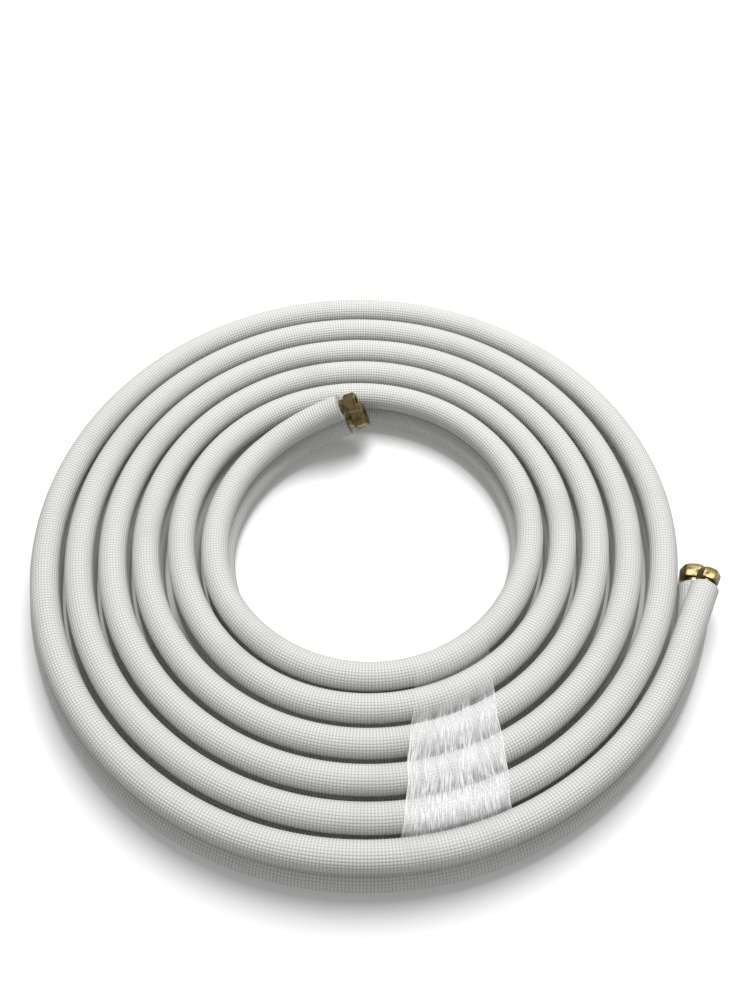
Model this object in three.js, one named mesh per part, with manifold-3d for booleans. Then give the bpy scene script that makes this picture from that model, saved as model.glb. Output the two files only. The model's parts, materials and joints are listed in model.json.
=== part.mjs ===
import * as THREE from 'three';
import { ConvexGeometry } from 'three/addons/geometries/ConvexGeometry.js';
import * as BufferGeometryUtils from 'three/addons/utils/BufferGeometryUtils.js';
import Module from 'manifold-3d';

// Mini split line set: two insulated copper lines, one on the other, wound into a flat coil.
// Millimetres and degrees, +Z up. The coil lies on z = 0 with the origin under the middle of its box.

// The copper tubes and the foam round them
const LIQUID_TUBE_DIAMETER = 6.35;
const SUCTION_TUBE_DIAMETER = 9.52;
const LIQUID_TUBE_WALL = 0.8;
const SUCTION_TUBE_WALL = 0.8;
const LIQUID_FOAM_WALL = 9;
const SUCTION_FOAM_WALL = 9;

// The winding, as angles round the coil and radii of the suction line's centre
const START_RADIUS = 117.7;
const TURN_GAP = 2.7;
const LIQUID_INNER_END_ANGLE = 101;
const SUCTION_INNER_END_ANGLE = 98;
const LIQUID_OUTER_END_ANGLE = 2136;
const SUCTION_OUTER_END_ANGLE = 2152;

// The liquid line's outer end leaves the winding straight on
const LIQUID_TAIL_LENGTH = 69;

// The inner ends spring up out of the coil from this angle on, the liquid line inwards as well
const SPRING_ANGLE = 138;
const LIQUID_SPRING_RISE = 25.5;
const SUCTION_SPRING_RISE = 22;
const SPRING_LEAN = -6.5;
const SPRING_BEND = 1.5;

// How far the liquid line lies outside the suction line at the two ends of the winding
const INNER_LEAN = 1.5;
const OUTER_LEAN = -5.8;

// Places where the hand-wound turns leave the even spiral, with the sideways shift there
const LOOSE_SPOTS = [
  { angle: 90, reach: 34, shift: 2.6 },
  { angle: 161, reach: 60, shift: -4.3 },
  { angle: 285, reach: 60, shift: 1.5 },
  { angle: 560, reach: 60, shift: -2 },
  { angle: 1815, reach: 55, shift: 2.5 },
  { angle: 2105, reach: 70, shift: -2 },
];

// The flare nuts
const LIQUID_NUT = {
  acrossFlats: 17,
  hexLength: 11,
  collarLength: 5.5,
  collarDiameter: 13.5,
  threadBore: 9.9,
  seatStart: 6.5,
  flareDiameter: 9.1,
};
const SUCTION_NUT = {
  acrossFlats: 22,
  hexLength: 13,
  collarLength: 6,
  collarDiameter: 18,
  threadBore: 14.3,
  seatStart: 7.5,
  flareDiameter: 13.1,
};
const HEX_SIDES = 6;
const NUT_CHAMFER = 1.4;
const NUT_FACE_INSET = 0.35;
const MOUTH_CHAMFER = 0.6;
const END_BORE_DEPTH = 15;
const TUBE_ROOT_DEPTH = 5;

// The clear film round the front of the coil: its half widths at the hole and at the outside
const FILM_THICKNESS = 0.3;
const FILM_SIDE = 75;
const FILM_INNER_HALF_WIDTH = 23;
const FILM_OUTER_HALF_WIDTH = 49;
const FILM_FIRST_ANGLE = 255;
const FILM_LAST_ANGLE = 330;

// Clearances
const SEAT_GAP = 0.3;
const TUBE_CLEARANCE = 0.35;
const NUT_CLEARANCE = 0.45;

// How finely the round shapes are cut into flats
const STEP_ANGLE = 15;
const TAIL_STEPS = 2;
const SLEEVE_SIDES = 12;
const TUBE_SIDES = 6;
const NUT_SEGMENTS = 18;

// How far a cutting shape runs past the face that it cuts, and one step of the film into the next
const CUT_PAST = 1;
const FILM_CUT_PAST = 60;
const FILM_STEP_OVERLAP = 1;

// The least angle between two stations of a line, and the angle over which a direction is measured
const LEAST_STEP_ANGLE = 1;

// Materials, with the photograph's colours
const MATERIALS = {
  foam: new THREE.MeshStandardMaterial({ color: 0xd9d9d4, roughness: 0.75, metalness: 0 }),
  copper: new THREE.MeshStandardMaterial({ color: 0xb87346, roughness: 0.35, metalness: 1 }),
  brass: new THREE.MeshStandardMaterial({ color: 0x9a8350, roughness: 0.35, metalness: 1 }),
  film: new THREE.MeshStandardMaterial({
    color: 0xf4f6f7,
    roughness: 0.15,
    metalness: 0,
    transparent: true,
    opacity: 0.35,
  }),
};

const FULL_TURN = 360;
const Z_AXIS = new THREE.Vector3(0, 0, 1);

// Sizes that follow from the ones above
const liquidRadius = LIQUID_TUBE_DIAMETER / 2 + LIQUID_FOAM_WALL;
const suctionRadius = SUCTION_TUBE_DIAMETER / 2 + SUCTION_FOAM_WALL;
const turnPitch = 2 * Math.max(liquidRadius, suctionRadius) + TURN_GAP;
const sleeveFloor = FILM_THICKNESS + SEAT_GAP;
const suctionHeight = sleeveFloor + suctionRadius;
const liquidHeight = suctionHeight + suctionRadius + SEAT_GAP + liquidRadius;

const wasm = await Module();
wasm.setup();

// Solids for joining and cutting

function toSolid(geometry) {
  const bare = geometry.clone();
  bare.deleteAttribute('normal');
  bare.deleteAttribute('uv');
  const merged = BufferGeometryUtils.mergeVertices(bare);
  return new wasm.Manifold(new wasm.Mesh({
    numProp: 3,
    vertProperties: new Float32Array(merged.attributes.position.array),
    triVerts: new Uint32Array(merged.index.array),
  }));
}

function toGeometry(solid) {
  const mesh = solid.getMesh();
  const geometry = new THREE.BufferGeometry();
  geometry.setAttribute('position', new THREE.BufferAttribute(mesh.vertProperties, 3));
  geometry.setIndex(new THREE.BufferAttribute(mesh.triVerts, 1));
  geometry.computeVertexNormals();
  return geometry;
}

// The winding

function looseShift(angle) {
  let shift = 0;
  for (const spot of LOOSE_SPOTS) {
    const away = Math.abs(angle - spot.angle) / spot.reach;
    if (away < 1) {
      shift += spot.shift * 0.5 * (1 + Math.cos(Math.PI * away));
    }
  }
  return shift;
}

// From 0 where the inner ends leave the flat winding to 1 where they stop
function sprung(angle) {
  const along = (SPRING_ANGLE - angle) / (SPRING_ANGLE - SUCTION_INNER_END_ANGLE);
  return Math.max(along, 0) ** SPRING_BEND;
}

function lean(angle) {
  const share = (angle - SUCTION_INNER_END_ANGLE) / (LIQUID_OUTER_END_ANGLE - SUCTION_INNER_END_ANGLE);
  return THREE.MathUtils.lerp(INNER_LEAN, OUTER_LEAN, share) + SPRING_LEAN * sprung(angle);
}

function suctionWinding(angle) {
  return START_RADIUS + turnPitch * angle / FULL_TURN + looseShift(angle);
}

function liquidWinding(angle) {
  return suctionWinding(angle) + lean(angle);
}

const LINES = {
  liquid: {
    winding: liquidWinding,
    height: liquidHeight,
    springRise: LIQUID_SPRING_RISE,
    innerEnd: LIQUID_INNER_END_ANGLE,
    outerEnd: LIQUID_OUTER_END_ANGLE,
    tailLength: LIQUID_TAIL_LENGTH,
  },
  suction: {
    winding: suctionWinding,
    height: suctionHeight,
    springRise: SUCTION_SPRING_RISE,
    innerEnd: SUCTION_INNER_END_ANGLE,
    outerEnd: SUCTION_OUTER_END_ANGLE,
    tailLength: 0,
  },
};

function windingPoint(line, angle) {
  const turned = THREE.MathUtils.degToRad(angle);
  const radius = line.winding(angle);
  const height = line.height + line.springRise * sprung(angle);
  return new THREE.Vector3(radius * Math.cos(turned), radius * Math.sin(turned), height);
}

// A path whose steps fall on its own stations and whose sections stay level,
// so that the flats of neighbouring turns lie side by side
class WoundPath extends THREE.CatmullRomCurve3 {
  getUtoTmapping(u) {
    return u;
  }

  computeFrenetFrames(steps) {
    const frames = { tangents: [], normals: [], binormals: [] };
    for (let step = 0; step <= steps; step += 1) {
      const tangent = this.getTangent(step / steps);
      const side = tangent.clone().cross(Z_AXIS).normalize();
      frames.tangents.push(tangent);
      frames.normals.push(side.clone().cross(tangent));
      frames.binormals.push(side);
    }
    return frames;
  }
}

function stationAngles(line) {
  const angles = [line.innerEnd];
  const first = STEP_ANGLE * Math.ceil((line.innerEnd + LEAST_STEP_ANGLE) / STEP_ANGLE);
  for (let angle = first; angle < line.outerEnd - LEAST_STEP_ANGLE; angle += STEP_ANGLE) {
    angles.push(angle);
  }
  angles.push(line.outerEnd);
  return angles;
}

// The stations of the winding, then the straight tail
function linePoints(line) {
  const points = stationAngles(line).map((angle) => windingPoint(line, angle));
  const end = points[points.length - 1];
  const before = windingPoint(line, line.outerEnd - LEAST_STEP_ANGLE);
  const direction = end.clone().sub(before).normalize();
  const steps = line.tailLength > 0 ? TAIL_STEPS : 0;
  for (let step = 1; step <= steps; step += 1) {
    const along = line.tailLength * step / TAIL_STEPS;
    points.push(end.clone().addScaledVector(direction, along));
  }
  return points;
}

// Sections of the lines, with a flat on top and one underneath

function polygon(sides, flatRadius) {
  const corner = flatRadius / Math.cos(Math.PI / sides);
  const points = [];
  for (let side = 0; side < sides; side += 1) {
    const turned = 2 * Math.PI * (side + 0.5) / sides;
    points.push(new THREE.Vector2(corner * Math.cos(turned), corner * Math.sin(turned)));
  }
  return points;
}

function sweep(outline, hole, points) {
  const shape = new THREE.Shape(outline);
  if (hole) {
    shape.holes.push(new THREE.Path(hole));
  }
  const path = new WoundPath(points);
  return new THREE.ExtrudeGeometry(shape, {
    steps: points.length - 1,
    bevelEnabled: false,
    extrudePath: path,
  });
}

function makeSleeve(line, tubeDiameter, sleeveRadius) {
  const bore = polygon(TUBE_SIDES, tubeDiameter / 2 + TUBE_CLEARANCE);
  return sweep(polygon(SLEEVE_SIDES, sleeveRadius), bore, linePoints(line));
}

// The frames at the ends of a line: where it ends and the way it points out
function lineEnds(line) {
  const points = linePoints(line);
  const last = points.length - 1;
  const path = new WoundPath(points);
  return {
    inner: { point: points[0], direction: path.getTangent(0).negate() },
    outer: { point: points[last], direction: path.getTangent(1) },
  };
}

// Puts a shape that was turned about its own Z axis on a line's end, with Z along the way out
function endFrame(end, along) {
  const point = end.point.clone().addScaledVector(end.direction, along);
  const turn = new THREE.Quaternion().setFromUnitVectors(Z_AXIS, end.direction);
  return { point, turn };
}

function turned(profile) {
  const points = profile.map(([radius, height]) => new THREE.Vector2(radius, height));
  const lathe = new THREE.LatheGeometry(points, NUT_SEGMENTS);
  lathe.rotateX(Math.PI / 2);
  return lathe;
}

// The copper past the sleeve: straight to the cone, then flared to meet the seat inside the nut
function makeTube(line, diameter, wall, nut) {
  const radius = diameter / 2;
  const outline = polygon(TUBE_SIDES, radius);
  let tube = toSolid(sweep(outline, null, linePoints(line)));
  const flareRadius = nut.flareDiameter / 2;
  const coneStart = SEAT_GAP + nut.seatStart + NUT_CLEARANCE;
  const coneEnd = coneStart + flareRadius - radius;
  const boreRadius = radius - wall;
  const outside = turned([
    [0, -TUBE_ROOT_DEPTH],
    [radius, -TUBE_ROOT_DEPTH],
    [radius, coneStart],
    [flareRadius, coneEnd],
    [flareRadius - wall / 2, coneEnd + wall / 2],
    [0, coneEnd + wall / 2],
    [0, -TUBE_ROOT_DEPTH],
  ]);
  const inside = turned([
    [0, coneEnd - END_BORE_DEPTH],
    [boreRadius, coneEnd - END_BORE_DEPTH],
    [boreRadius, coneStart + wall / 2],
    [flareRadius - wall / 2, coneEnd + wall / 2],
    [flareRadius - wall / 2, coneEnd + wall / 2 + CUT_PAST],
    [0, coneEnd + wall / 2 + CUT_PAST],
    [0, coneEnd - END_BORE_DEPTH],
  ]);
  for (const end of Object.values(lineEnds(line))) {
    const { point, turn } = endFrame(end, 0);
    const place = new THREE.Matrix4().compose(point, turn, new THREE.Vector3(1, 1, 1));
    tube = tube.add(toSolid(outside.clone().applyMatrix4(place)));
    tube = tube.subtract(toSolid(inside.clone().applyMatrix4(place)));
  }
  return toGeometry(tube);
}

// A flare nut along +Z: round collar behind, chamfered hexagon in front, cone seat and open socket inside
function makeNut(nut, tubeDiameter) {
  const length = nut.collarLength + nut.hexLength;
  const outline = polygon(HEX_SIDES, nut.acrossFlats / 2);
  const hexagon = new THREE.ExtrudeGeometry(new THREE.Shape(outline), {
    depth: nut.hexLength,
    bevelEnabled: false,
  });
  hexagon.translate(0, 0, nut.collarLength);
  const face = nut.acrossFlats / 2 - NUT_FACE_INSET;
  const pastCorner = outline[0].length() + CUT_PAST;
  const rounding = turned([
    [0, nut.collarLength],
    [face, nut.collarLength],
    [pastCorner, nut.collarLength + NUT_CHAMFER],
    [pastCorner, length - NUT_CHAMFER],
    [face, length],
    [0, length],
    [0, nut.collarLength],
  ]);
  const collar = turned([
    [0, 0],
    [nut.collarDiameter / 2 - MOUTH_CHAMFER, 0],
    [nut.collarDiameter / 2, MOUTH_CHAMFER],
    [nut.collarDiameter / 2, nut.collarLength + NUT_CHAMFER],
    [0, nut.collarLength + NUT_CHAMFER],
    [0, 0],
  ]);
  const tubeHole = tubeDiameter / 2 + NUT_CLEARANCE;
  const socket = nut.threadBore / 2;
  const inside = turned([
    [0, -CUT_PAST],
    [tubeHole, -CUT_PAST],
    [tubeHole, nut.seatStart],
    [socket, nut.seatStart + socket - tubeHole],
    [socket, length - MOUTH_CHAMFER],
    [socket + MOUTH_CHAMFER + CUT_PAST, length + CUT_PAST],
    [0, length + CUT_PAST],
    [0, -CUT_PAST],
  ]);
  const body = toSolid(hexagon).intersect(toSolid(rounding)).add(toSolid(collar));
  return toGeometry(body.subtract(toSolid(inside)));
}

// The film lies tight round the four outermost sleeves of the ring's section
function sectionPoints(angle, away) {
  const lastTurn = angle + FULL_TURN * Math.floor((LIQUID_OUTER_END_ANGLE - angle) / FULL_TURN);
  const corners = [
    { line: LINES.suction, angle, radius: suctionRadius },
    { line: LINES.liquid, angle, radius: liquidRadius },
    { line: LINES.liquid, angle: lastTurn, radius: liquidRadius },
    { line: LINES.suction, angle: lastTurn, radius: suctionRadius },
  ];
  const turnedBy = THREE.MathUtils.degToRad(angle);
  const outward = new THREE.Vector3(Math.cos(turnedBy), Math.sin(turnedBy), 0);
  const points = [];
  for (const corner of corners) {
    const centre = windingPoint(corner.line, corner.angle);
    for (const { x, y } of polygon(SLEEVE_SIDES, corner.radius + away)) {
      points.push(centre.clone().addScaledVector(outward, y).addScaledVector(Z_AXIS, x));
    }
  }
  return points;
}

function filmBody(away) {
  let body = null;
  const first = Math.floor(FILM_FIRST_ANGLE / STEP_ANGLE) * STEP_ANGLE;
  for (let angle = first; angle < FILM_LAST_ANGLE; angle += STEP_ANGLE) {
    const stepAngles = [0, STEP_ANGLE].flatMap((along) => [
      angle + along - FILM_STEP_OVERLAP,
      angle + along,
      angle + along + FILM_STEP_OVERLAP,
    ]);
    const points = stepAngles.flatMap((stepAngle) => sectionPoints(stepAngle, away));
    const step = toSolid(new ConvexGeometry(points));
    body = body ? body.add(step) : step;
  }
  return body;
}

function makeFilm() {
  const outside = -liquidWinding(LIQUID_OUTER_END_ANGLE) - FILM_CUT_PAST;
  const inside = -START_RADIUS + FILM_CUT_PAST;
  const wedge = new THREE.Shape([
    new THREE.Vector2(FILM_SIDE - FILM_OUTER_HALF_WIDTH, outside),
    new THREE.Vector2(FILM_SIDE + FILM_OUTER_HALF_WIDTH, outside),
    new THREE.Vector2(FILM_SIDE + FILM_INNER_HALF_WIDTH, inside),
    new THREE.Vector2(FILM_SIDE - FILM_INNER_HALF_WIDTH, inside),
  ]);
  const depth = liquidHeight + liquidRadius + 2 * FILM_CUT_PAST;
  const cutter = new THREE.ExtrudeGeometry(wedge, { depth, bevelEnabled: false });
  cutter.translate(0, 0, -FILM_CUT_PAST);
  const shell = filmBody(SEAT_GAP + FILM_THICKNESS).subtract(filmBody(SEAT_GAP));
  return toGeometry(shell.intersect(toSolid(cutter)));
}

// The assembly

const lineSet = new THREE.Group();
const coil = new THREE.Group();
lineSet.add(coil);

function addMesh(name, geometry, material) {
  const mesh = new THREE.Mesh(geometry, material);
  mesh.name = name;
  coil.add(mesh);
  return mesh;
}

function addLine(name, line, tubeDiameter, tubeWall, sleeveRadius, nut) {
  addMesh(`${name}_line_insulation`, makeSleeve(line, tubeDiameter, sleeveRadius), MATERIALS.foam);
  addMesh(`${name}_line_tube`, makeTube(line, tubeDiameter, tubeWall, nut), MATERIALS.copper);
  for (const [place, end] of Object.entries(lineEnds(line))) {
    const mesh = addMesh(`${place}_${name}_nut`, makeNut(nut, tubeDiameter), MATERIALS.brass);
    const { point, turn } = endFrame(end, SEAT_GAP);
    mesh.position.copy(point);
    mesh.quaternion.copy(turn);
  }
}

addLine('liquid', LINES.liquid, LIQUID_TUBE_DIAMETER, LIQUID_TUBE_WALL, liquidRadius, LIQUID_NUT);
addLine('suction', LINES.suction, SUCTION_TUBE_DIAMETER, SUCTION_TUBE_WALL, suctionRadius, SUCTION_NUT);
addMesh('stretch_wrap', makeFilm(), MATERIALS.film);

// The origin goes under the middle of the coil's box
lineSet.updateMatrixWorld(true);
const box = new THREE.Box3().setFromObject(lineSet, true);
coil.position.set(-(box.min.x + box.max.x) / 2, -(box.min.y + box.max.y) / 2, 0);

export default lineSet;
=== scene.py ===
"""A mini split line set: two insulated copper lines, one on the other, wound into a flat coil, with flare nuts
on their ends and clear film round the front of the coil. Metres, +Z up."""
import json
import math

import bmesh
import bpy
import numpy as np
from mathutils import Matrix, Vector, geometry


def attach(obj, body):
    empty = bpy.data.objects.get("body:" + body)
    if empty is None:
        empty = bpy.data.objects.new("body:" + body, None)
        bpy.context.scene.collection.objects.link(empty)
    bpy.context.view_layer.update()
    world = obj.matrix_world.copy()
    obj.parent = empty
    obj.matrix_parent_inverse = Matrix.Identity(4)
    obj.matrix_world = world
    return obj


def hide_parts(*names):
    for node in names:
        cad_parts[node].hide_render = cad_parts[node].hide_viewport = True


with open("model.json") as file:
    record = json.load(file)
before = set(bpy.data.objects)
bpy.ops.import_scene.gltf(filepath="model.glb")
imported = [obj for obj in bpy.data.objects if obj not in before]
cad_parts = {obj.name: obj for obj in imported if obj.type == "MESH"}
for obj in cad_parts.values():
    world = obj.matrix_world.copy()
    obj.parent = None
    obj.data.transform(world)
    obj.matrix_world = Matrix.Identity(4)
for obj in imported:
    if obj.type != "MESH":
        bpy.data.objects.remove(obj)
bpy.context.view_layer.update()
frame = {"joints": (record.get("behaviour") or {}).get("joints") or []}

MM = 0.001
FULL_TURN = 360

# How near counts as the same point or the same rim, and the half span a direction is measured over
SAME_POINT = 0.001 * MM
SAME_RIM = 0.01 * MM
NUDGE = 0.5 * MM

# The copper tubes and the foam round them
LIQUID_TUBE = 6.35 * MM
SUCTION_TUBE = 9.52 * MM
TUBE_WALL = 0.8 * MM
FOAM_WALL = 9 * MM
TUBE_CLEARANCE = 0.35 * MM
SEAT_GAP = 0.3 * MM
FILM_THICKNESS = 0.3 * MM

# The winding, as angles round the coil in degrees and radii of the suction line's centre
START_RADIUS = 117.7 * MM
TURN_GAP = 2.7 * MM
LIQUID_ENDS = (101, 2136)
SUCTION_ENDS = (98, 2152)
SPRING_ANGLE = 138
LIQUID_SPRING_RISE = 25.5 * MM
SUCTION_SPRING_RISE = 22 * MM
SPRING_LEAN = -6.5 * MM
SPRING_BEND = 1.5
INNER_LEAN = 1.5 * MM
OUTER_LEAN = -5.8 * MM

# Where the winding lies loose: an angle, how far round it reaches, and how far it shifts outwards
LOOSE_SPOTS = [
    (90, 34, 2.6 * MM),
    (161, 60, -4.3 * MM),
    (285, 60, 1.5 * MM),
    (560, 60, -2 * MM),
    (1815, 55, 2.5 * MM),
    (2105, 70, -2 * MM),
]

# How the route is stepped, and the straight lead into each end
ROUTE_STEP = 0.25
LEAD_IN_ANGLE = 20
LEAD_LENGTH = 20 * MM

LIQUID_RADIUS = LIQUID_TUBE / 2 + FOAM_WALL
SUCTION_RADIUS = SUCTION_TUBE / 2 + FOAM_WALL
TURN_PITCH = 2 * SUCTION_RADIUS + TURN_GAP
SUCTION_HEIGHT = FILM_THICKNESS + SEAT_GAP + SUCTION_RADIUS
LIQUID_HEIGHT = SUCTION_HEIGHT + SUCTION_RADIUS + SEAT_GAP + LIQUID_RADIUS

# The embossing of the foam: rungs along a line, rows round it
RUNG_PITCH = 2.6 * MM
ROWS_ROUND = 30
EMBOSS_DEPTH = 0.22 * MM
SLEEVE_SIDES = 18
BORE_STEP = 20 * MM
TUBE_SIDES = 20
TUBE_STEP = 22 * MM
PATH_STEP = 12 * MM

# The lip of a flare, in shares of half the tube's wall
LIP_OUTSIDE = 0.6
LIP_INSIDE = 1.4

# The angles, in degrees, from which an edge shows as sharp
SLEEVE_SHARP = 60
COPPER_SHARP = 30
NUT_SHARP = 25
NUT_BEVELLED = 28

# The clear film round the front of the coil: where it crosses the coil, and its half widths
FILM_SIDE = 75 * MM
FILM_INNER_HALF_WIDTH = 23 * MM
FILM_OUTER_HALF_WIDTH = 49 * MM
FILM_INNER_EDGE = -57.7 * MM
FILM_OUTER_EDGE = -351 * MM
FILM_SHEET = 0.12 * MM
FILM_SAG = 1.3 * MM
FILM_WRINKLE = 0.7 * MM
FILM_ROWS = 150
FILM_RINGS = 220
FIRST_GUESS = 290
LAST_TURNS = 5 * FULL_TURN
DISC_SIDES = 72
FILM_TRIES = 5

# The waves of the film's ragged sides, each a size, a count and a slant
SIDE_WAVES = ((0.02, 37, 2), (0.012, 91, 0))

# The film's folds across the turns, and how they sway
FOLDS = 46
SWAY = 5
SWAY_WAVES = 9
SWAY_SLANT = 3

# The flare nuts
NUT_CLEARANCE = 0.45 * MM
NUT_CHAMFER = 1.4 * MM
NUT_FACE_INSET = 0.35 * MM
NUT_CORNER_PAST = 1 * MM
MOUTH_CHAMFER = 0.6 * MM
EDGE_BEVEL = 0.22 * MM
BEVEL_SEGMENTS = 2
NUT_STEPS = 72
HEX_SIDES = 6
THREAD_DEPTH = 0.5
THREAD_CREST = 0.4
THREAD_ROOT = 0.8
LIQUID_NUT = {
    "across_flats": 17 * MM,
    "hex_length": 11 * MM,
    "collar_length": 5.5 * MM,
    "collar_diameter": 13.5 * MM,
    "thread_bore": 9.9 * MM,
    "thread_pitch": 1.27 * MM,
    "seat_start": 6.5 * MM,
    "flare_diameter": 9.1 * MM,
}
SUCTION_NUT = {
    "across_flats": 22 * MM,
    "hex_length": 13 * MM,
    "collar_length": 6 * MM,
    "collar_diameter": 18 * MM,
    "thread_bore": 14.3 * MM,
    "thread_pitch": 1.41 * MM,
    "seat_start": 7.5 * MM,
    "flare_diameter": 13.1 * MM,
}

# The camera: where the photograph was taken from, with its focal length in pixels of the 750 x 1000 frame
CAMERA_PLACE = (3.4 * MM, -468.3 * MM, 780.6 * MM)
CAMERA_PITCH = 55.6
CAMERA_ROLL = 0.013
FOCAL_PIXELS = 983
FRAME_LONG_SIDE = 1000
SENSOR = 36
NEAR_CLIP = 0.01

# The floor and the light
FLOOR_HALF = 12
WORLD_STRENGTH = 0.44
LIGHT_PLACE = (0.1, 0.6, 1.6)
LIGHT_SIZE = 1.1
LIGHT_POWER = 33


# The camera

def place_camera():
    camera = bpy.data.objects.new("camera", bpy.data.cameras.new("camera"))
    bpy.context.scene.collection.objects.link(camera)
    camera.data.sensor_width = SENSOR
    camera.data.lens = FOCAL_PIXELS * SENSOR / FRAME_LONG_SIDE
    camera.data.clip_start = NEAR_CLIP
    turn = Matrix.Rotation(math.radians(90 - CAMERA_PITCH), 4, "X") @ Matrix.Rotation(CAMERA_ROLL, 4, "Z")
    camera.matrix_world = Matrix.Translation(CAMERA_PLACE) @ turn
    bpy.context.scene.camera = camera


# The route of the lines

def loose_shift(angle):
    shift = np.zeros_like(angle)
    for spot, reach, sideways in LOOSE_SPOTS:
        away = np.clip(np.abs(angle - spot) / reach, 0, 1)
        shift += sideways * 0.5 * (1 + np.cos(np.pi * away))
    return shift


def suction_winding(angle):
    return START_RADIUS + TURN_PITCH * angle / FULL_TURN + loose_shift(angle)


def sprung(angle):
    """From 0 where the inner ends leave the flat winding to 1 where they stop."""
    along = (SPRING_ANGLE - angle) / (SPRING_ANGLE - SUCTION_ENDS[0])
    return np.maximum(along, 0) ** SPRING_BEND


def liquid_winding(angle):
    along = (angle - SUCTION_ENDS[0]) / (LIQUID_ENDS[1] - SUCTION_ENDS[0])
    lean = INNER_LEAN + (OUTER_LEAN - INNER_LEAN) * along + SPRING_LEAN * sprung(angle)
    return suction_winding(angle) + lean


def wound(winding, height, rise, angle):
    turned = np.radians(angle)
    radius = winding(angle)
    return np.stack([radius * np.cos(turned), radius * np.sin(turned), height + rise * sprung(angle)], axis=-1)


def unit(vectors):
    return vectors / np.linalg.norm(vectors, axis=-1, keepdims=True)


class Line:
    """One line of the pair, with its route from 20 mm before its inner end to 20 mm past its outer end."""

    def __init__(self, name, turns, angles, tube, nut):
        self.name = name
        self.tube = tube
        self.radius = tube / 2 + FOAM_WALL
        self.nut = nut
        self.ends = {place: nut_seat(place, name) for place in ("inner", "outer")}
        self.points = self.route(turns, angles)
        steps = np.linalg.norm(np.diff(self.points, axis=0), axis=1)
        self.distance = np.concatenate([[0], np.cumsum(steps)]) - LEAD_LENGTH
        self.length = self.distance[-1] - LEAD_LENGTH

    def route(self, turns, angles):
        turns = wound(*turns, np.arange(angles[0] + LEAD_IN_ANGLE, angles[1], ROUTE_STEP)) + CENTRE
        inner, outer = self.ends["inner"], self.ends["outer"]
        start = inner["point"] - inner["axis"] * SEAT_GAP
        end = outer["point"] - outer["axis"] * SEAT_GAP
        reach = np.linalg.norm(turns[0] - start) / 3
        handles = [start, start - inner["axis"] * reach, turns[0] - unit(turns[1] - turns[0]) * reach, turns[0]]
        share = np.linspace(0, 1, LEAD_IN_ANGLE * 2, endpoint=False)[:, None]
        weights = [(1 - share) ** 3, 3 * (1 - share) ** 2 * share, 3 * (1 - share) * share**2, share**3]
        lead_in = sum(weight * handle for weight, handle in zip(weights, handles))
        past_start = start + inner["axis"] * LEAD_LENGTH
        past_end = end + outer["axis"] * LEAD_LENGTH
        return np.concatenate([[past_start], lead_in, turns, [end, past_end]])

    def at(self, distances):
        """The points at these distances from the inner end, in the room."""
        return np.stack([np.interp(distances, self.distance, side) for side in self.points.T], axis=-1)

    def path(self):
        return self.at(np.linspace(0, self.length, round(self.length / PATH_STEP)))


def nut_seat(place, name):
    """Where a nut's back face lies and the way out along its axis, from the frame."""
    joint = next(j for j in frame["joints"] if j["child"] == f"{place}_{name}_nut")
    return {"point": np.array(joint["pos_m"]), "axis": unit(np.array(joint["axis"]))}


LIQUID_TURNS = (liquid_winding, LIQUID_HEIGHT, LIQUID_SPRING_RISE)
SUCTION_TURNS = (suction_winding, SUCTION_HEIGHT, SUCTION_SPRING_RISE)


def coil_centre():
    """The middle of the winding on the floor, taken back from where the outer nut of the suction line sits."""
    seat = nut_seat("outer", "suction")
    return seat["point"] - seat["axis"] * SEAT_GAP - wound(*SUCTION_TURNS, np.array(float(SUCTION_ENDS[1])))


CENTRE = coil_centre()
LINES = [
    Line("liquid", LIQUID_TURNS, LIQUID_ENDS, LIQUID_TUBE, LIQUID_NUT),
    Line("suction", SUCTION_TURNS, SUCTION_ENDS, SUCTION_TUBE, SUCTION_NUT),
]


# Making pieces

def make_piece(name, bm, body, material, sharp=None):
    """Turns the finished bmesh into a piece of the part, smooth except at edges sharper than the angle."""
    bmesh.ops.recalc_face_normals(bm, faces=bm.faces)
    mesh = bpy.data.meshes.new(name)
    bm.to_mesh(mesh)
    bm.free()
    mesh.shade_smooth()
    if sharp:
        mesh.set_sharp_from_angle(angle=math.radians(sharp))
    piece = bpy.data.objects.new(name, mesh)
    bpy.context.scene.collection.objects.link(piece)
    mesh.materials.append(material)
    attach(piece, body)
    return piece


def lay_skin(bm, line, distances, radii, sides):
    """Lays a grid round the line, one ring of it at each distance, and closes it along its seam."""
    rings = len(distances)
    grid = bmesh.ops.create_grid(bm, x_segments=rings - 1, y_segments=sides, size=1, calc_uvs=True)
    centres = line.at(distances)
    forward = unit(line.at(distances + NUDGE) - line.at(distances - NUDGE))
    side = unit(np.stack([forward[:, 1], -forward[:, 0], np.zeros(rings)], axis=-1))
    up = np.cross(side, forward)
    turned = 2 * np.pi * np.arange(sides + 1) / sides
    for vertex in grid["verts"]:
        ring = round((vertex.co.x + 1) / 2 * (rings - 1))
        turn = turned[round((vertex.co.y + 1) / 2 * sides) % sides]
        out = side[ring] * math.cos(turn) + up[ring] * math.sin(turn)
        vertex.co = centres[ring] + out * radii[ring]
    bmesh.ops.remove_doubles(bm, verts=grid["verts"], dist=SAME_POINT)


def close_ends(bm, line):
    """Joins the outer and the inner skin at both ends."""
    middle = {place: line.ends[place]["point"] for place in line.ends}
    loose = {place: [] for place in middle}
    for edge in bm.edges:
        if edge.is_boundary:
            here = np.array(edge.verts[0].co)
            nearest = min(middle, key=lambda place: np.linalg.norm(middle[place] - here))
            loose[nearest].append(edge)
    for edges in loose.values():
        bmesh.ops.bridge_loops(bm, edges=edges)


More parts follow.
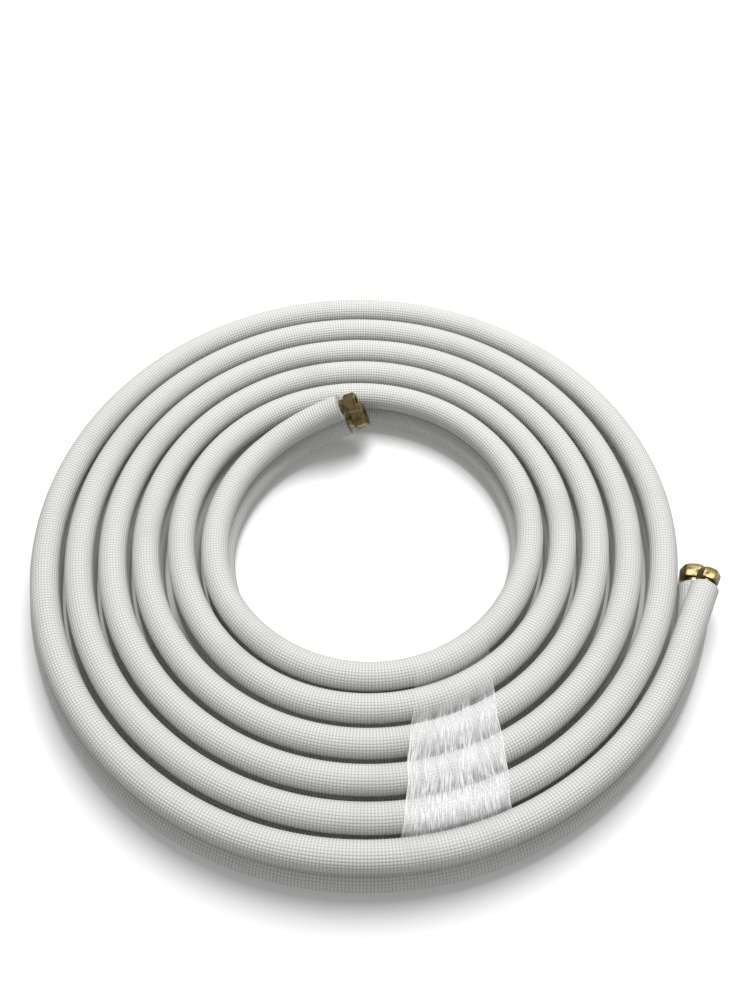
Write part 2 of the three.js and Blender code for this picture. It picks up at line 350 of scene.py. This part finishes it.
def make_sleeve(line, material):
    """The foam: embossed outside, with its bore right through."""
    bm = bmesh.new()
    bm.loops.layers.uv.new("lay")
    rungs = round(line.length / RUNG_PITCH)
    distances = np.linspace(0, line.length, 2 * rungs + 1)
    valley = np.arange(2 * rungs + 1) % 2
    lay_skin(bm, line, distances, line.radius - EMBOSS_DEPTH * valley, SLEEVE_SIDES)
    bore = np.linspace(0, line.length, round(line.length / BORE_STEP))
    lay_skin(bm, line, bore, np.full(len(bore), line.tube / 2 + TUBE_CLEARANCE), SLEEVE_SIDES)
    close_ends(bm, line)
    sleeve = make_piece(f"{line.name}_sleeve", bm, "line_set", material, sharp=SLEEVE_SHARP)
    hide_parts(f"{line.name}_line_insulation")
    return sleeve


def make_tube(line, material):
    """The copper: straight out of the foam, then flared onto the seat inside each nut."""
    bm = bmesh.new()
    bm.loops.layers.uv.new("lay")
    radius, nut = line.tube / 2, line.nut
    flare = nut["flare_diameter"] / 2
    cone_start = SEAT_GAP + nut["seat_start"] + NUT_CLEARANCE
    cone_end = cone_start + flare - radius
    half = TUBE_WALL / 2
    middle = np.linspace(0, line.length, round(line.length / TUBE_STEP))
    outside_end = [(cone_start, radius), (cone_end, flare), (cone_end + half, flare - half * LIP_OUTSIDE)]
    inside_end = [(cone_start + half, radius - TUBE_WALL), (cone_end + half, flare - half * LIP_INSIDE)]
    for end, within in ((outside_end, radius), (inside_end, radius - TUBE_WALL)):
        out = np.array([distance for distance, _ in end])
        wide = np.array([size for _, size in end])
        distances = np.concatenate([-out[::-1], middle, line.length + out])
        radii = np.concatenate([wide[::-1], np.full(len(middle), within), wide])
        lay_skin(bm, line, distances, radii, TUBE_SIDES)
    close_ends(bm, line)
    tube = make_piece(f"{line.name}_copper", bm, "line_set", material, sharp=COPPER_SHARP)
    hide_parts(f"{line.name}_line_tube")
    return tube


def nut_profile(nut, tube, corner):
    """Half the section of a nut, from its back, over the hexagon and back through the thread and the seat."""
    length = nut["collar_length"] + nut["hex_length"]
    collar = nut["collar_diameter"] / 2
    face = nut["across_flats"] / 2 - NUT_FACE_INSET
    socket = nut["thread_bore"] / 2
    hole = tube / 2 + NUT_CLEARANCE
    seat_top = nut["seat_start"] + socket - hole
    profile = [
        (hole, 0),
        (collar - MOUTH_CHAMFER, 0),
        (collar, MOUTH_CHAMFER),
        (collar, nut["collar_length"]),
        (face, nut["collar_length"]),
        (corner, nut["collar_length"] + NUT_CHAMFER),
        (corner, length - NUT_CHAMFER),
        (face, length),
        (socket + MOUTH_CHAMFER, length),
        (socket, length - MOUTH_CHAMFER),
    ]
    pitch = nut["thread_pitch"]
    turns = int((length - 2 * MOUTH_CHAMFER - seat_top) / pitch)
    for turn in range(turns):
        top = length - MOUTH_CHAMFER - turn * pitch
        profile.append((socket + pitch * THREAD_DEPTH, top - pitch * THREAD_CREST))
        profile.append((socket, top - pitch * THREAD_ROOT))
        profile.append((socket, top - pitch))
    profile += [(socket, seat_top), (hole, nut["seat_start"])]
    return profile


def draw_to_flats(bm, nut, corner):
    """Draws the round rim in to six flats, with the chamfer's curve on each."""
    length = nut["collar_length"] + nut["hex_length"]
    flat = nut["across_flats"] / 2
    face = flat - NUT_FACE_INSET
    slope = NUT_CHAMFER / (corner + NUT_CORNER_PAST - face)
    half_flat = math.pi / HEX_SIDES
    for vertex in bm.verts:
        if math.hypot(vertex.co.x, vertex.co.y) > corner - SAME_RIM:
            turned = math.atan2(vertex.co.y, vertex.co.x) + 2 * math.pi
            to_flat = flat / math.cos((turned + half_flat) % (2 * half_flat) - half_flat)
            depth = slope * (to_flat - face)
            front = vertex.co.z > nut["collar_length"] + nut["hex_length"] / 2
            vertex.co.x *= to_flat / corner
            vertex.co.y *= to_flat / corner
            vertex.co.z = length - depth if front else nut["collar_length"] + depth


def make_nut(line, place, material):
    nut = line.nut
    corner = nut["across_flats"] / 2 / math.cos(math.pi / HEX_SIDES)
    bm = bmesh.new()
    bm.loops.layers.uv.new("lay")
    rim = [bm.verts.new((radius, 0, height)) for radius, height in nut_profile(nut, line.tube, corner)]
    edges = [bm.edges.new((here, there)) for here, there in zip(rim, rim[1:] + rim[:1])]
    bmesh.ops.spin(
        bm, geom=rim + edges, cent=(0, 0, 0), axis=(0, 0, 1), angle=2 * math.pi, steps=NUT_STEPS, use_merge=True
    )
    draw_to_flats(bm, nut, corner)
    bmesh.ops.recalc_face_normals(bm, faces=bm.faces)
    outer = nut["across_flats"] / 2 - 2 * NUT_FACE_INSET
    hard = [
        edge
        for edge in bm.edges
        if edge.calc_face_angle(0) > math.radians(NUT_BEVELLED)
        and all(math.hypot(vertex.co.x, vertex.co.y) > outer for vertex in edge.verts)
    ]
    bmesh.ops.bevel(
        bm, geom=hard, offset=EDGE_BEVEL, affect="EDGES", segments=BEVEL_SEGMENTS, profile=0.5, material=-1,
        clamp_overlap=True,
    )
    seat = line.ends[place]
    axis = Vector(seat["axis"])
    turn = Vector((0, 0, 1)).rotation_difference(axis).to_matrix().to_4x4()
    there = Matrix.Translation(seat["point"]) @ turn
    bmesh.ops.transform(bm, matrix=there, verts=bm.verts)
    node = f"{place}_{line.name}_nut"
    piece = make_piece(f"{place}_{line.name}_flare_nut", bm, node, material, sharp=NUT_SHARP)
    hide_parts(node)
    return piece


def film_outline(angle):
    """The tight line round the section of the coil at this angle, as radius and height, from the hole's side up."""
    points = []
    turned = 2 * np.pi * np.arange(DISC_SIDES) / DISC_SIDES
    for at in (angle, angle + LAST_TURNS):
        at = np.array([float(at)])
        for winding, height, radius in (
            (suction_winding, SUCTION_HEIGHT, SUCTION_RADIUS),
            (liquid_winding, LIQUID_HEIGHT, LIQUID_RADIUS),
        ):
            away = radius + SEAT_GAP
            points += [
                (winding(at)[0] + away * math.cos(turn), height + away * math.sin(turn)) for turn in turned
            ]
    hull = [Vector(points[index]) for index in geometry.convex_hull_2d(points)]
    first = min(range(len(hull)), key=lambda index: hull[index].x)
    hull = hull[first:] + hull[:first] + [hull[first]]
    if hull[1].y < hull[0].y:
        hull.reverse()
    return np.array([tuple(point) for point in hull])


def film_section(angle, shares):
    """Points at even shares of the way round the section, drawn down a little between the turns."""
    outline = film_outline(angle)
    lengths = np.concatenate([[0], np.cumsum(np.linalg.norm(np.diff(outline, axis=0), axis=1))])
    radius = np.interp(shares * lengths[-1], lengths, outline[:, 0])
    height = np.interp(shares * lengths[-1], lengths, outline[:, 1])
    crest = liquid_winding(np.array([float(angle)]))[0]
    between = 0.5 - 0.5 * np.cos(2 * np.pi * (radius - crest) / TURN_PITCH)
    outermost = liquid_winding(np.array([float(angle + LAST_TURNS)]))[0]
    on_top = (height > LIQUID_HEIGHT + LIQUID_RADIUS) & (radius > crest) & (radius < outermost)
    return radius, height, between * on_top


def film_points():
    """The film's grid: rings from side to side of the wedge, each a closed row of points round the section."""
    shares = np.linspace(0, 1, FILM_RINGS + 1)
    across = np.linspace(-1, 1, FILM_ROWS + 1)
    sections = {}
    grid = np.zeros((FILM_ROWS + 1, FILM_RINGS + 1, 3))
    for row, sideways in enumerate(across):
        for ring, share in enumerate(shares):
            angle = FIRST_GUESS
            for _ in range(FILM_TRIES):
                key = round(angle)
                if key not in sections:
                    sections[key] = film_section(key, shares)
                radius, height, between = (values[ring] for values in sections[key])
                deep = -radius * math.sin(math.radians(angle))
                along = (-deep - FILM_INNER_EDGE) / (FILM_OUTER_EDGE - FILM_INNER_EDGE)
                half_width = FILM_INNER_HALF_WIDTH + (FILM_OUTER_HALF_WIDTH - FILM_INNER_HALF_WIDTH) * along
                ragged = 1 + sum(
                    size * math.sin(waves * share + slant * sideways) for size, waves, slant in SIDE_WAVES
                )
                angle = FULL_TURN - math.degrees(math.acos((FILM_SIDE + sideways * half_width * ragged) / radius))
            sway = SWAY * math.sin(SWAY_WAVES * share + SWAY_SLANT * sideways)
            fold = 0.5 + 0.5 * math.sin(FOLDS * sideways + sway)
            drop = between * (FILM_SAG - FILM_WRINKLE * fold * math.sin(math.pi * share) ** 2)
            turned = math.radians(angle)
            grid[row, ring] = (
                CENTRE[0] + radius * math.cos(turned), CENTRE[1] + radius * math.sin(turned), height - drop,
            )
    return grid


def make_film(material):
    """Clear stretch film, tight round the section of the coil, with both of its sides open."""
    bm = bmesh.new()
    bm.loops.layers.uv.new("lay")
    grid = bmesh.ops.create_grid(bm, x_segments=FILM_RINGS, y_segments=FILM_ROWS, size=1, calc_uvs=True)
    points = film_points()
    for vertex in grid["verts"]:
        ring = round((vertex.co.x + 1) / 2 * FILM_RINGS) % FILM_RINGS
        row = round((vertex.co.y + 1) / 2 * FILM_ROWS)
        vertex.co = points[row, ring]
    bmesh.ops.remove_doubles(bm, verts=grid["verts"], dist=SAME_POINT)
    film = make_piece("clear_stretch_film", bm, "line_set", material)
    sheet = film.modifiers.new("sheet", "SOLIDIFY")
    sheet.thickness = FILM_SHEET
    sheet.offset = 1
    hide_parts("stretch_wrap")


# Shader maths

class Wire:
    """A socket of a finish, with arithmetic that adds Math nodes."""

    def __init__(self, finish, socket):
        self.finish = finish
        self.socket = socket

    def math(self, operation, *values):
        inputs = dict(enumerate(values))
        return self.finish.node("ShaderNodeMath", {"operation": operation}, inputs)

    def __add__(self, other):
        return self.math("ADD", self, other)

    def __sub__(self, other):
        return self.math("SUBTRACT", self, other)

    def __rsub__(self, other):
        return self.math("SUBTRACT", other, self)

    def __mul__(self, other):
        return self.math("MULTIPLY", self, other)

    def __pow__(self, other):
        return self.math("POWER", self, other)

    def __abs__(self):
        return self.math("ABSOLUTE", self)

    __radd__ = __add__
    __rmul__ = __mul__


class Finish:
    """A material in the making."""

    def __init__(self, name):
        self.material = bpy.data.materials.new(name)
        self.material.use_nodes = True
        self.tree = self.material.node_tree
        self.tree.nodes.clear()

    def node(self, kind, settings=None, inputs=None, output=0):
        made = self.tree.nodes.new(kind)
        for key, value in (settings or {}).items():
            setattr(made, key, value)
        for key, value in (inputs or {}).items():
            if isinstance(value, Wire):
                self.tree.links.new(value.socket, made.inputs[key])
            else:
                made.inputs[key].default_value = value
        return Wire(self, made.outputs[output]) if len(made.outputs) else None

    def split(self, vector):
        parts = self.node("ShaderNodeSeparateXYZ", {}, {0: vector})
        outputs = parts.socket.node.outputs
        return [Wire(self, outputs[axis]) for axis in range(3)]

    def combine(self, *parts):
        return self.node("ShaderNodeCombineXYZ", {}, dict(enumerate(parts)))

    def lay(self):
        return self.split(self.node("ShaderNodeUVMap", {"uv_map": "lay"}))

    def place(self):
        return self.node("ShaderNodeTexCoord", {}, {}, "Object")

    def noise(self, vector, scale, detail=2.0, roughness=0.5):
        inputs = {"Vector": vector, "Scale": scale, "Detail": detail, "Roughness": roughness}
        return self.node("ShaderNodeTexNoise", {}, inputs, "Fac")

    def step(self, value, low, high, start=0.0, end=1.0):
        """Rises smoothly from start to end as the value goes from low to high."""
        inputs = {"Value": value, "From Min": low, "From Max": high, "To Min": start, "To Max": end}
        return self.node("ShaderNodeMapRange", {"interpolation_type": "SMOOTHSTEP"}, inputs)

    def mix(self, share, first, second):
        return self.node("ShaderNodeMix", {"data_type": "RGBA"}, {0: share, 6: first, 7: second}, 2)

    def wave(self, value):
        """1 at whole numbers, 0 between them."""
        turned = value * (2 * math.pi)
        return turned.math("COSINE", turned) * 0.5 + 0.5

    def bump(self, height, distance):
        return self.node("ShaderNodeBump", {}, {"Height": height, "Distance": distance, "Strength": 1.0})

    def finished(self, inputs):
        shader = self.node("ShaderNodeBsdfPrincipled", {}, inputs)
        self.node("ShaderNodeOutputMaterial", {}, {"Surface": shader})
        return self.material


# Finishes: a scale is how often a pattern repeats, and a range is where it starts and ends to show

FOAM_CREST = (0.68, 0.68, 0.665, 1)
# The grooves' colour: painted shade in the recesses, with some dirt
FOAM_GROOVE_SHADE_AND_DIRT = (0.44, 0.44, 0.42, 1)
FOAM_SMUDGE = (0.46, 0.45, 0.425, 1)
BEAD_ROUNDNESS = 0.6
GROOVE_DEPTH = 0.85
GROOVE_WIDTH = 3.0
GROOVE_SHADE_RANGE = (0.0, 0.55)
BEAD_BUMP = 0.5 * MM
SMUDGE_SCALE = 14
SMUDGE_RANGE = (0.55, 0.78)
SMUDGE_MOST = 0.35
GRAIN_SCALE = 900
GRAIN_SHARE = 0.12
FOAM_ROUGHNESS = 0.62
FOAM_SHINE = 0.35

BRASS_CLEAN = (0.27, 0.205, 0.09, 1)
BRASS_TARNISH = (0.10, 0.078, 0.035, 1)
BRASS_STAIN_SCALE = 160
BRASS_STAIN_RANGE = (0.42, 0.68)
BRASS_GRAIN_SCALE = 2600
BRASS_ROUGHNESS = 0.26
BRASS_STAIN_ROUGHNESS = 0.2
BRASS_GRAIN_ROUGHNESS = 0.1
BRASS_BUMP = 0.02 * MM

COPPER_CLEAN = (0.80, 0.42, 0.26, 1)
COPPER_TARNISH = (0.42, 0.20, 0.12, 1)
COPPER_STAIN_SCALE = 90
COPPER_STAIN_RANGE = (0.45, 0.7)
COPPER_GRAIN_SCALE = 1800
COPPER_ROUGHNESS = 0.24
COPPER_STAIN_ROUGHNESS = 0.22
COPPER_BUMP = 0.015 * MM

# The film's white shows in its streaks: partly the gathered film's own milkiness, partly painted highlights along its
# folds
FILM_MILK_AND_HIGHLIGHT = (0.96, 0.965, 0.97, 1)
FINE_STREAKS = (34, 95, 0.0)
BROAD_STREAKS = (9, 6, 4.0)
GATHERED_START = (0.17, 0.27)
GATHERED_END = (0.385, 0.43)
THIN_RANGE = (0.56, 0.7)
DENSE_RANGE = (0.42, 0.62)
DENSE_PATCHES = (0.3, 0.55)
SIDE_RANGE = (0.486, 0.496)
FILM_ALPHA = 0.035
THIN_ALPHA = 0.14
GATHERED_ALPHA = 0.1
DENSE_ALPHA = 0.55
SIDE_ALPHA = 0.25
FINE_BUMP_SHARE = 1.4
FILM_BUMP = 0.35 * MM
FILM_ROUGHNESS = 0.14
FILM_IOR = 1.5

FLOOR_WHITE = (0.93, 0.93, 0.93, 1)
FLOOR_ROUGHNESS = 0.9
FLOOR_SHINE = 0.1


def foam_finish(line):
    """Embossed polyethylene skin: rungs across the line, cut into beads by grooves along it, with painted shade and
    some dirt darkening the grooves.
    """
    finish = Finish(f"{line.name}_foam")
    along, around, _ = finish.lay()
    rung = finish.wave(along * round(line.length / RUNG_PITCH))
    row = finish.wave(around * ROWS_ROUND)
    bead = rung**BEAD_ROUNDNESS * (1 - GROOVE_DEPTH * (1 - row) ** GROOVE_WIDTH)
    place = finish.place()
    smudge = finish.step(finish.noise(place, SMUDGE_SCALE, 3.0), *SMUDGE_RANGE, 0.0, SMUDGE_MOST)
    grain = finish.noise(place, GRAIN_SCALE, 2.0)
    # Painted shade, with some dirt, darkens the foam in the grooves between the beads
    colour = finish.mix(finish.step(bead, *GROOVE_SHADE_RANGE), FOAM_GROOVE_SHADE_AND_DIRT, FOAM_CREST)
    colour = finish.mix(smudge, colour, FOAM_SMUDGE)
    normal = finish.bump(bead + grain * GRAIN_SHARE, BEAD_BUMP)
    inputs = {"Base Color": colour, "Roughness": FOAM_ROUGHNESS, "Normal": normal, "Specular IOR Level": FOAM_SHINE}
    return finish.finished(inputs)


def brass_finish():
    """Machined brass, tarnished in patches."""
    finish = Finish("brass")
    place = finish.place()
    stain = finish.step(finish.noise(place, BRASS_STAIN_SCALE, 4.0), *BRASS_STAIN_RANGE)
    fine = finish.noise(place, BRASS_GRAIN_SCALE, 3.0)
    colour = finish.mix(stain, BRASS_CLEAN, BRASS_TARNISH)
    rough = BRASS_ROUGHNESS + BRASS_STAIN_ROUGHNESS * stain + BRASS_GRAIN_ROUGHNESS * fine
    normal = finish.bump(fine, BRASS_BUMP)
    return finish.finished({"Base Color": colour, "Metallic": 1.0, "Roughness": rough, "Normal": normal})


def copper_finish():
    """Drawn copper, browned in patches."""
    finish = Finish("copper")
    place = finish.place()
    stain = finish.step(finish.noise(place, COPPER_STAIN_SCALE, 4.0), *COPPER_STAIN_RANGE)
    colour = finish.mix(stain, COPPER_CLEAN, COPPER_TARNISH)
    rough = COPPER_ROUGHNESS + COPPER_STAIN_ROUGHNESS * stain
    normal = finish.bump(finish.noise(place, COPPER_GRAIN_SCALE, 2.0), COPPER_BUMP)
    return finish.finished({"Base Color": colour, "Metallic": 1.0, "Roughness": rough, "Normal": normal})


def film_finish():
    """Clear film: nearly nothing where it lies smooth; across the outer turns where it is gathered, white streaks that
    are partly its milkiness and partly painted highlights along its folds.
    """
    finish = Finish("clear_film")
    round_section, across, _ = finish.lay()

    def streaks(scales, detail, roughness):
        spread = finish.combine(round_section * scales[0], across * scales[1], scales[2])
        return finish.noise(spread, 1.0, detail, roughness)

    fine = streaks(FINE_STREAKS, 4.0, 0.7)
    broad = streaks(BROAD_STREAKS, 2.0, 0.5)
    gathered = finish.step(round_section, *GATHERED_START) * finish.step(round_section, *GATHERED_END, 1.0, 0.0)
    thin = finish.step(fine, *THIN_RANGE)
    dense = finish.step(fine, *DENSE_RANGE) * finish.step(broad, *DENSE_PATCHES)
    side = finish.step(abs(across - 0.5), *SIDE_RANGE)
    # The opaque white streaks are partly painted highlights of the folds and partly the film's milkiness where it is
    # gathered
    on_gathered = GATHERED_ALPHA + DENSE_ALPHA * dense + SIDE_ALPHA * side
    alpha = FILM_ALPHA + THIN_ALPHA * thin * broad + gathered * on_gathered
    normal = finish.bump(fine * FINE_BUMP_SHARE + broad, FILM_BUMP)
    inputs = {"Base Color": FILM_MILK_AND_HIGHLIGHT, "Roughness": FILM_ROUGHNESS, "Alpha": alpha, "Normal": normal, "IOR": FILM_IOR}
    return finish.finished(inputs)


def floor_finish():
    finish = Finish("pale_floor")
    inputs = {"Base Color": FLOOR_WHITE, "Roughness": FLOOR_ROUGHNESS, "Specular IOR Level": FLOOR_SHINE}
    return finish.finished(inputs)


# The floor and the light

def make_floor():
    bm = bmesh.new()
    bmesh.ops.create_grid(bm, x_segments=1, y_segments=1, size=FLOOR_HALF)
    mesh = bpy.data.meshes.new("floor")
    bm.to_mesh(mesh)
    bm.free()
    floor = bpy.data.objects.new("floor", mesh)
    floor.data.materials.append(floor_finish())
    bpy.context.scene.collection.objects.link(floor)
    floor.visible_diffuse = False


def soft_light(name, place, size, power):
    """A round soft light that points at the middle of the floor."""
    light = bpy.data.objects.new(name, bpy.data.lights.new(name, "AREA"))
    light.data.shape = "DISK"
    light.data.size = size
    light.data.energy = power
    light.location = place
    light.rotation_mode = "QUATERNION"
    light.rotation_quaternion = (-Vector(place)).to_track_quat("-Z", "Y")
    bpy.context.scene.collection.objects.link(light)


def light_scene():
    world = bpy.data.worlds.new("room")
    bpy.context.scene.world = world
    world.use_nodes = True
    world.node_tree.nodes["Background"].inputs["Color"].default_value = (1, 1, 1, 1)
    world.node_tree.nodes["Background"].inputs["Strength"].default_value = WORLD_STRENGTH
    soft_light("ceiling", LIGHT_PLACE, LIGHT_SIZE, LIGHT_POWER)
    bpy.context.scene.view_settings.view_transform = "Standard"


place_camera()
BRASS = brass_finish()
COPPER = copper_finish()
for line in LINES:
    sleeve = make_sleeve(line, foam_finish(line))
    tube = make_tube(line, COPPER)
    nuts = [make_nut(line, place, BRASS) for place in line.ends]
    start = line.at(np.array([0.0]))[0]
    line.path()
make_film(film_finish())
make_floor()
light_scene()
